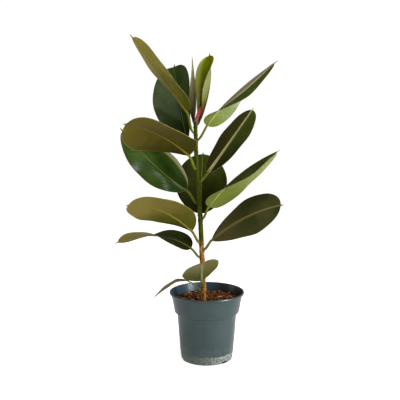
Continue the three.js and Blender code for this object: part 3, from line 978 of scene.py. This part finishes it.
print("a blade's grid is", GRID_ACROSS, "by", GRID_ALONG)

# %% [markdown]
# On a real leaf the stalk doesn't end at the blade. It runs on under it as a raised midrib
# that gets thinner and flatter towards the tip. Two pieces would show a joint where they meet,
# so one rod does both: a third of its length is stalk, and the rest is midrib.

# %% Stalk and midrib
RIB_DEPTH, RIB_HALF = 2.6, 2.8
RIB_END = 0.95                   # where along the blade the midrib fades out
STALK_SHARE = 0.35               # how much of the rod is stalk; the rest is the midrib
SOFT_END = 0.06                  # where along the blade the round stalk has become the rib
STALK_SIDES, STALK_STEPS = 14, 110


def stalk_section(leaf, share):
    """The frame, half width, height and depth of the stalk, then of the rib under the blade."""
    thick = stalk_radius(leaf)
    if share < STALK_SHARE:
        t = share / STALK_SHARE
        curve, outward = stalk_curve(leaf)
        size = thick * lerp(STALK_FOOT_SCALE, 1, t)
        return frame_on(curve, t, leaf["cross"], leaf["roll"][0], outward), size, size, size
    t = (share - STALK_SHARE) / (1 - STALK_SHARE) * RIB_END
    frame = frame_on(blade_curve(leaf), t, leaf["cross"], through(leaf["roll"], t))
    soft = clamp(1 - t / SOFT_END)
    wide = min(RIB_HALF * (1 - 0.75 * t), half_width(leaf, t) * 0.4)
    deep = min(RIB_DEPTH * (1 - t) + 0.3, half_width(leaf, t) * 0.6) + 0.2
    return (frame, lerp(wide, thick, soft), lerp(0.1, thick, soft ** 2),
            lerp(deep, thick, soft))


def stalk_bmesh(leaf):
    bm = rod(STALK_SIDES, STALK_STEPS)
    along = bm.verts.layers.float.new("along")
    section_at = functools.lru_cache(maxsize=None)(lambda share: stalk_section(leaf, share))
    for vert in bm.verts:
        share = round(vert.co.z, 6)
        (centre, right, up), wide, high, deep = section_at(share)
        vert[along] = share
        rise = vert.co.y * (high if vert.co.y > 0 else deep)
        vert.co = (centre + right * vert.co.x * wide + up * rise) * MM
    bmesh.ops.recalc_face_normals(bm, faces=bm.faces)
    return bm


print("leaf_10's stalk is", round(2 * stalk_radius(leaf_plan("leaf_10")), 1), "mm thick")

# %% [markdown]
# ## The leaf's surface, shared by every leaf finish
#
# Upper sides and undersides differ in colour and gloss, but they share one pattern: a midrib,
# side veins, a thin pale edge and a fine net between the veins. They could be painted on a
# picture for each leaf, but a formula stays sharp at any distance. One node group works them
# out as masks from what each vertex stored. Each leaf finish then lays its colours over them.

# %% Shared effect: leaf pattern
def leaf_pattern_group():
    group = bpy.data.node_groups.new("leaf pattern", "ShaderNodeTree")
    group.interface.new_socket("Rib Width", in_out="INPUT", socket_type="NodeSocketFloat")
    for name in ("Rib", "Veins", "Edge", "Net", "Along", "Side"):
        group.interface.new_socket(name, in_out="OUTPUT", socket_type="NodeSocketFloat")
    start = group.nodes.new("NodeGroupInput")
    end = group.nodes.new("NodeGroupOutput")
    place = add(group, "Attribute", attribute_name="place").outputs["Vector"]
    across, along, share = add(group, "SeparateXYZ", {0: place}).outputs
    phase = add(group, "Attribute", attribute_name="phase").outputs["Fac"]

    narrowing = calculate(group, "SUBTRACT", 1.0, calculate(group, "MULTIPLY", along, 0.7))
    rib_half = calculate(group, "MULTIPLY", narrowing, start.outputs["Rib Width"])
    off_rib = calculate(group, "DIVIDE", calculate(group, "ABSOLUTE", across), rib_half)
    rib = stretch(group, off_rib, 0.35, 1.0, 1.0, 0.0)

    off_vein = calculate(group, "PINGPONG", phase, 0.5)
    line = stretch(group, off_vein, 0.0, 0.16, 1.0, 0.0)
    line = calculate(group, "MULTIPLY", line, stretch(group, along, 0.6, 0.9, 1.0, 0.2))
    inner = stretch(group, share, 0.03, 0.15)
    outer = stretch(group, share, 0.82, 0.95, 1.0, 0.0)
    veins = calculate(group, "MULTIPLY", line, calculate(group, "MULTIPLY", inner, outer))

    net = add(group, "TexVoronoi", {"Vector": place_of(group), "Scale": 620.0},
              feature="DISTANCE_TO_EDGE").outputs["Distance"]
    found = {"Rib": rib, "Veins": veins, "Edge": stretch(group, share, 0.955, 0.995),
             "Net": stretch(group, net, 0.0, 0.14, 1.0, 0.0), "Along": along,
             "Side": calculate(group, "MULTIPLY", calculate(group, "SIGN", across), share)}
    for name, value in found.items():
        group.links.new(value, end.inputs[name])
    return group


LEAF_PATTERN = leaf_pattern_group()


def leaf_pattern(tree, rib_width):
    return add(tree, "Group", {"Rib Width": rib_width * MM}, node_tree=LEAF_PATTERN).outputs


print("group:", LEAF_PATTERN.name)

# %% [markdown]
# ## Upper sides
#
# The upper side is dark and waxy. Four things keep it alive: slow clouds of lighter green, a
# colour towards the stalk that is darker on most leaves, side veins that are a shade paler, and
# a gloss that comes and goes. The cream midrib is wide and soft on some leaves and a thin line
# on others. Some leaves have a patch on one half or along one margin, so a finish may name such
# patches. On three leaves these patches are painted sheen and a painted highlight, and on one
# leaf a grey painted reflection of the sky covers the whole upper side. A thin clear coat gives
# the two shiniest leaves their waxy bars of light, and on them the paler veins are stronger, as
# painted bars of gloss. The other reflections are weak and tinted a little towards the leaf's
# own green, or a dark leaf would look milky.

# %% Upper finishes
EDGE_LINE = paint(120, 110, 58)
CREAM = (158, 148, 96)


def across_patch(tree, pattern, colour, patch):
    """Another colour that fades in between two places across the blade, from -1 to 1."""
    screen, start, full, strength = patch
    mask = stretch(tree, pattern["Side"], start, full, 0.0, strength)
    return over(tree, colour, paint(*screen), mask)


def upper_finish(name, deep, fresh, foot, rib, rib_width, rough=0.5, coat=0.0, gloss=0.04,
                 vein=0.05, patches=(), foot_end=0.6, relief=0.00002):
    """Colours are screen values: two for the clouds, one for the foot, one for the midrib."""
    material, tree, shader = new_finish("upper side, " + name, Coat_Weight=coat,
                                        Coat_Roughness=0.13, Specular_IOR_Level=gloss,
                                        Specular_Tint=WAX_TINT)
    deep, fresh, foot, rib = (paint(*screen) for screen in (deep, fresh, foot, rib))
    pattern = leaf_pattern(tree, rib_width)
    clouds = stretch(tree, speckle(tree, 0.045, 3), 0.35, 0.65)
    colour = mix(tree, clouds, deep, fresh)
    fine = stretch(tree, speckle(tree, 0.0025, 4), 0.4, 0.7, 0.0, 0.35)
    colour = over(tree, colour, fresh, fine)
    near_foot = stretch(tree, pattern["Along"], 0.02, foot_end, 0.95, 0.0)
    colour = over(tree, colour, foot, near_foot)
    for patch in patches:
        colour = across_patch(tree, pattern, colour, patch)
    colour = over(tree, colour, rib, pattern["Veins"], vein)
    colour = over(tree, colour, rib, pattern["Rib"])
    colour = over(tree, colour, EDGE_LINE, pattern["Edge"], 0.6)
    shine = stretch(tree, speckle(tree, 0.02, 4), 0.3, 0.7, rough - 0.06, rough + 0.08)
    drive(tree, shader, Base_Color=colour, Roughness=shine)
    bump(tree, shader, calculate(tree, "MULTIPLY", pattern["Veins"], -1.0), relief, 0.6)
    return material


UPPER = {
    "dark": upper_finish("dark", (38, 47, 8), (54, 62, 20), (28, 34, 3), CREAM, 1.6),
    # painted reflection: the sky seen at a grazing angle greys this whole upper side
    "dull": upper_finish("dull", (140, 133, 100), (152, 144, 110), (92, 92, 52),
                         (176, 168, 128), 1.6),
    "ribbed": upper_finish("broad rib", (50, 54, 26), (68, 70, 38), (92, 86, 52),
                           (132, 122, 86), 6.5, vein=0.1),
    "light rib": upper_finish("light rib", (46, 56, 12), (58, 68, 20), (28, 34, 8),
                              (200, 196, 136), 6, patches=[((50, 42, 16), 0.02, -0.1, 0.7)]),
    # the patch is a painted sheen along one margin, and the paler veins are partly painted bars
    # of gloss
    "glossy": upper_finish("glossy", (34, 58, 12), (56, 80, 28), (34, 58, 12), (120, 136, 60),
                           1.8, rough=0.4, coat=0.14, gloss=0.03, vein=0.12, relief=0.0002,
                           patches=[((136, 132, 98), 0.76, 0.88, 0.9)]),
    # the paler veins are partly painted bars of gloss
    "waxy": upper_finish("waxy", (42, 60, 22), (62, 80, 38), (16, 32, 2), (110, 124, 62),
                         1.4, rough=0.4, coat=0.09, gloss=0.03, vein=0.16, relief=0.0003),
    # the patches are painted sheen: pale and grey-brown over the blade, leaving one margin dark
    # green
    "two tone": upper_finish("two tone", (44, 58, 16), (70, 84, 34), (40, 54, 12),
                             (122, 112, 88), 3, vein=0.25,
                             patches=[((186, 178, 140), 0.46, 0.4, 0.8),
                                      ((122, 112, 88), 0.36, 0.3, 0.95)]),
    # the patch is a painted highlight along one margin
    "lime": upper_finish("young lime", (112, 122, 4), (140, 150, 14), (54, 48, 1),
                         (150, 156, 40), 1.4, rough=0.34, coat=0.03, gloss=0.02,
                         foot_end=0.95, patches=[((206, 212, 110), -0.5, -0.85, 0.55)]),
    "bronze": upper_finish("young bronze", (222, 208, 150), (232, 220, 168), (44, 34, 1),
                           (226, 214, 160), 1.2, rough=0.34, coat=0.04, gloss=0.03,
                           foot_end=0.95),
}
print(len(UPPER), "upper finishes")

# %% [markdown]
# ## Undersides
#
# The underside has no wax coat. It is olive and matt, its side veins and its fine net show as
# darker lines, and the edge is a pale line. It is lighter and browner towards the tip, and
# greener towards the stalk, where it is also darker with painted shade near the stem. Light that
# falls through a leaf would need a translucent shader. The lighter green of the leaves that
# stand against the light is painted light, mixed into their own finish instead, which looks the
# same here.

# %% Under finishes
UNDER_EDGE = paint(168, 162, 84)


def under_finish(name, foot, tip, vein, patches=()):
    """Matt, with a fine net. The colour runs from the foot's to the tip's."""
    material, tree, shader = new_finish("underside, " + name, Specular_IOR_Level=0.1,
                                        Specular_Tint=WAX_TINT)
    foot, tip, vein = (paint(*screen) for screen in (foot, tip, vein))
    pattern = leaf_pattern(tree, 2.2)
    clouds = stretch(tree, speckle(tree, 0.05, 3), 0.3, 0.7, -0.15, 0.15)
    along = stretch(tree, calculate(tree, "ADD", pattern["Along"], clouds), 0.05, 0.85)
    # darker and greener towards the foot; the darkening is partly painted shade near the stem
    colour = mix(tree, along, foot, tip)
    for patch in patches:
        colour = across_patch(tree, pattern, colour, patch)
    colour = over(tree, colour, vein, pattern["Veins"], 0.15)
    colour = over(tree, colour, vein, pattern["Net"], 0.08)
    colour = over(tree, colour, UNDER_EDGE, pattern["Edge"], 0.4)
    drive(tree, shader, Base_Color=colour,
          Roughness=stretch(tree, speckle(tree, 0.015, 4), 0.3, 0.7, 0.5, 0.62))
    relief = calculate(tree, "ADD", calculate(tree, "MULTIPLY", pattern["Net"], 0.5),
                       pattern["Veins"])
    bump(tree, shader, relief, 0.00006, 0.6)
    return material


# For each kind, in screen values: its foot, its tip, its veins and its midrib. The foot is
# darker partly as painted shade near the stem, and the bright and pale kinds are lighter with
# painted light that shines through leaves standing against the light.
UNDERSIDES = {
    "olive": ((74, 74, 16), (114, 102, 46), (84, 72, 26), (112, 104, 42)),
    "brown": ((58, 55, 4), (84, 74, 22), (56, 46, 12), (104, 92, 34)),
    "grey": ((78, 82, 42), (114, 106, 72), (74, 68, 36), (150, 154, 100)),
    "yellow": ((82, 88, 7), (138, 128, 56), (96, 84, 26), (132, 112, 60)),
    "bright": ((106, 117, 48), (138, 144, 90), (100, 112, 42), (160, 158, 96)),
    "pale": ((108, 122, 44), (176, 184, 164), (112, 128, 76), (180, 178, 128)),
    "lime": ((104, 100, 30), (152, 158, 102), (118, 130, 60), (150, 156, 70)),
    "bronze": ((160, 132, 18), (208, 194, 148), (120, 92, 40), (190, 160, 90)),
}
UNDER_PATCHES = {"grey": [((92, 86, 46), 0.1, -0.3, 0.75)]}
UNDER = {kind: under_finish(kind, foot, tip, vein, UNDER_PATCHES.get(kind, ()))
         for kind, (foot, tip, vein, rib) in UNDERSIDES.items()}
print(len(UNDER), "undersides")

# %% [markdown]
# The rim is the thin edge of the blade, where the skin is paler. The stalk is green, with
# brown where it joins the stem. Where it becomes the midrib it takes the colour that this
# leaf's underside has there, so each kind of underside has its own stalk finish. The rod's
# stored share along it tells the two parts apart.

# %% Rim and stalk finishes
def rim_finish():
    material, tree, shader = new_finish("leaf rim")
    shades = stretch(tree, speckle(tree, 0.006, 3), 0.35, 0.65)
    drive(tree, shader, Base_Color=mix(tree, shades, paint(140, 134, 70), paint(104, 90, 44)),
          Roughness=stretch(tree, shades, 0, 1, 0.45, 0.6))
    return material


def stalk_finish(name, rib):
    """Green stalk whose rib under the blade has the underside's own midrib colour."""
    material, tree, shader = new_finish("stalk, " + name, Specular_IOR_Level=0.2,
                                        Specular_Tint=WAX_TINT)
    along = add(tree, "Attribute", attribute_name="along").outputs["Fac"]
    streaks = stretch(tree, speckle(tree, 0.004, 4, (1, 1, 0.5)), 0.35, 0.65)
    green = mix(tree, streaks, paint(92, 98, 24), paint(122, 122, 40))
    worn = over(tree, paint(*rib), paint(70, 62, 22), streaks, 0.25)
    colour = over(tree, green, worn, stretch(tree, along, 0.3, 0.46))
    joint = stretch(tree, along, 0.0, 0.03, 0.7, 0.0)
    colour = over(tree, colour, paint(84, 62, 30), joint)
    drive(tree, shader, Base_Color=colour, Roughness=stretch(tree, streaks, 0, 1, 0.4, 0.54))
    bump(tree, shader, streaks, 0.0002, 0.5)
    return material


RIM = rim_finish()
STALK = {kind: stalk_finish(kind, colours[3]) for kind, colours in UNDERSIDES.items()}
print("finishes:", RIM.name, "and", len(STALK), "stalks")

# %% [markdown]
# ## Make all fifteen leaves
#
# Everything above comes together in one loop: a blade with its thickness, and a stalk that
# runs on under the blade as the raised midrib. One leaf could be copied and turned, but no
# two leaves of a plant bend alike, and the table already tells them apart. Both pieces of a
# leaf stand for the same CAD solid.


def make_leaf(name):
    leaf = leaf_plan(name)
    finishes = [UPPER[leaf["upper"]], UNDER[leaf["under"]], RIM]
    add_thickness(finish_piece(name + "_blade", blade_bmesh(leaf), finishes, name))
    finish_piece(name + "_stalk", stalk_bmesh(leaf), [STALK[leaf["under"]]], name)


for name in LEAVES:
    make_leaf(name)

# %% [markdown]
# ## The bud's sheath
#
# The growing tip is wrapped in a rosy sheath, rolled to a point and twisted a little. A dark
# green scale clasps its foot. Both could be sheets rolled up with a Simple Deform modifier,
# but they are so tight that only their outside shows. So each is a rod again, thick in the
# middle and thin at its end, with one spiral step where the wrap's edge lies over itself.

# %% Sheath
SHEATH_COURSE = [(-25, -2, 541.8), (-18, -7, 562), (-12, -9, 577)]
SHEATH_RADIUS = 4.2
SCALE_COURSE = [(-26, 0, 533), (-23, 0, 547), (-17, -2, 563)]
SCALE_RADIUS = 5.4
SHEATH_END = 0.5                 # the radius that is left at the point
WRAP_TWIST, WRAP_STEP = 2.4, 0.1
TO_CAMERA = Vector((0, -1, 0))


def sheath_finish(name, main, light, foot):
    """Streaked skin that turns to the foot's colour low down."""
    material, tree, shader = new_finish(name, Coat_Weight=0.2, Coat_Roughness=0.3)
    along = add(tree, "Attribute", attribute_name="along").outputs["Fac"]
    streaks = stretch(tree, speckle(tree, 0.0022, 5, (1, 1, 0.2)), 0.35, 0.65)
    colour = mix(tree, streaks, paint(*main), paint(*light))
    low = stretch(tree, along, 0.0, 0.3, 0.6, 0.0)
    colour = over(tree, colour, paint(*foot), low)
    drive(tree, shader, Base_Color=colour, Roughness=stretch(tree, streaks, 0, 1, 0.4, 0.55))
    bump(tree, shader, streaks, 0.0003, 0.6)
    return material


def sheath_bmesh(course, thick):
    """A rod laid along the course, as thick as told in its lower third."""
    bm = rod(24, 60)
    along = bm.verts.layers.float.new("along")
    for vert in bm.verts:
        t = vert.co.z
        vert[along] = t
        centre, right, up = frame_on(course, t, TO_CAMERA, 0)
        turn = math.atan2(vert.co.y, vert.co.x)
        overlap = ((turn + WRAP_TWIST * t) / (2 * math.pi)) % 1
        radius = SHEATH_END + thick * math.sin(math.pi * (0.2 + 0.8 * t)) ** 0.8
        radius *= (1 - WRAP_STEP + WRAP_STEP * overlap) * min(vert.co.xy.length, 1)
        vert.co = (centre + (right * math.cos(turn) + up * math.sin(turn)) * radius) * MM
    bmesh.ops.recalc_face_normals(bm, faces=bm.faces)
    return bm


ROSY = sheath_finish("sheath skin", (196, 44, 62), (220, 100, 98), (230, 156, 136))
GREEN = sheath_finish("green scale", (30, 56, 38), (44, 72, 46), (58, 72, 20))
for name, course, thick, skin in (("bud_sheath", SHEATH_COURSE, SHEATH_RADIUS, ROSY),
                                  ("bud_scale", SCALE_COURSE, SCALE_RADIUS, GREEN)):
    finish_piece(name, sheath_bmesh(course, thick), [skin], "sheath", sharp=40)

# %% [markdown]
# ## Floor and sky
#
# The plant stands in the white room of a catalogue picture. Such a room is bright below and
# behind, and darker in front, or every leaf would turn milky with reflections. A real white
# room would light the plant from all sides, so the floor and the sky look white to the camera
# but light the plant only a little. The glow stops under the pot, where no light would get in,
# so the drain notches are dark.

# %% Floor
FLOOR_LIGHT, FLOOR_SEEN = 0.3, 0.75     # how strongly it lights things and how it looks
SKY_LIGHT, SKY_SEEN = 0.3, 1.02
UNDER_POT = (0.0545, 0.0575)            # where the dark under the pot turns into open floor
FLOOR_HALF, FLOOR_HEIGHT = 12, -0.0005


def brighter_to_camera(tree, dim, bright):
    """One strength for the light that a thing gives, and another for how the camera sees it."""
    seen = add(tree, "LightPath").outputs["Is Camera Ray"]
    return calculate(tree, "ADD", dim, calculate(tree, "MULTIPLY", seen, bright - dim))


def floor_finish():
    material, tree, shader = new_finish("floor", Roughness=1.0, Specular_IOR_Level=0.0)
    shader.inputs["Emission Color"].default_value = (1, 1, 1, 1)
    away = add(tree, "VectorMath", {0: place_of(tree)}, operation="LENGTH").outputs["Value"]
    open_floor = stretch(tree, away, *UNDER_POT)
    glow = brighter_to_camera(tree, FLOOR_LIGHT, FLOOR_SEEN)
    drive(tree, shader, Emission_Strength=calculate(tree, "MULTIPLY", glow, open_floor),
          Base_Color=mix(tree, open_floor, paint(12, 14, 14), paint(240, 240, 240)))
    return material


floor_bm = bmesh.new()
bmesh.ops.create_grid(floor_bm, x_segments=1, y_segments=1, size=FLOOR_HALF)
floor_mesh = bpy.data.meshes.new("floor")
floor_bm.to_mesh(floor_mesh)
floor_bm.free()
floor_mesh.materials.append(floor_finish())
floor = bpy.data.objects.new("floor", floor_mesh)
floor.location.z = FLOOR_HEIGHT
scene.collection.objects.link(floor)

world = bpy.data.worlds.new("white room")
world.use_nodes = True
sky = world.node_tree.nodes["Background"]
sky.inputs["Color"].default_value = (1, 1, 1, 1)
world.node_tree.links.new(brighter_to_camera(world.node_tree, SKY_LIGHT, SKY_SEEN),
                          sky.inputs["Strength"])
scene.world = world
scene.view_settings.view_transform = "Standard"
print("floor:", 2 * FLOOR_HALF, "m wide, sky:", world.name)

# %% [markdown]
# ## Light
#
# Most of the light comes from softboxes, which are rectangles that glow. A tall narrow one at
# the right is the main light: it models the undersides and the pot. One that is nearly
# overhead lights the upper sides. A weak one high at the left gives the glossy leaf its bars,
# a weak warm one far left warms the edges there, and a low strip is seen only as a shine on
# the pot. The broad one in front fills the shadows. It isn't seen in reflections, because a
# wide reflection would lie over the dark leaves like a veil.

# %% Lights
def softbox(name, place, target, size, power, tint=(1, 1, 1), glossy=True, diffuse=True):
    """A rectangular lamp that looks at a target. Sizes in metres, power in watts.

    It may be left out of the reflections, or light by its reflections only."""
    lamp = bpy.data.lights.new(name, "AREA")
    lamp.shape, lamp.size, lamp.size_y = "RECTANGLE", *size
    lamp.energy, lamp.color = power, tint
    holder = bpy.data.objects.new(name, lamp)
    holder.location = place
    towards = Vector(target) - Vector(place)
    holder.rotation_euler = towards.to_track_quat("-Z", "Y").to_euler()
    holder.visible_glossy = glossy
    holder.visible_diffuse = diffuse
    scene.collection.objects.link(holder)


WARM, CREAMY = (1, 0.86, 0.64), (1, 0.92, 0.78)
softbox("softbox right", (1.5, -1.0, 0.7), (0, 0, 0.3), (0.26, 1.4), 30)
softbox("strip right", (1.45, -0.9, 0.12), (0, 0, 0.08), (0.1, 0.24), 16, diffuse=False)
softbox("softbox left", (-2.0, 0.1, 0.5), (0, 0, 0.25), (0.6, 1.2), 3.5, WARM)
softbox("softbox above", (0.42, 0.0, 2.2), (-0.05, 0, 0.45), (0.5, 0.3), 14)
softbox("softbox high left", (-0.5, -0.85, 2.2), (-0.05, 0, 0.55), (0.5, 0.4), 3)
softbox("fill front", (-1.4, -1.7, 0.6), (0, 0, 0.35), (1.2, 1.2), 7, CREAMY, glossy=False)
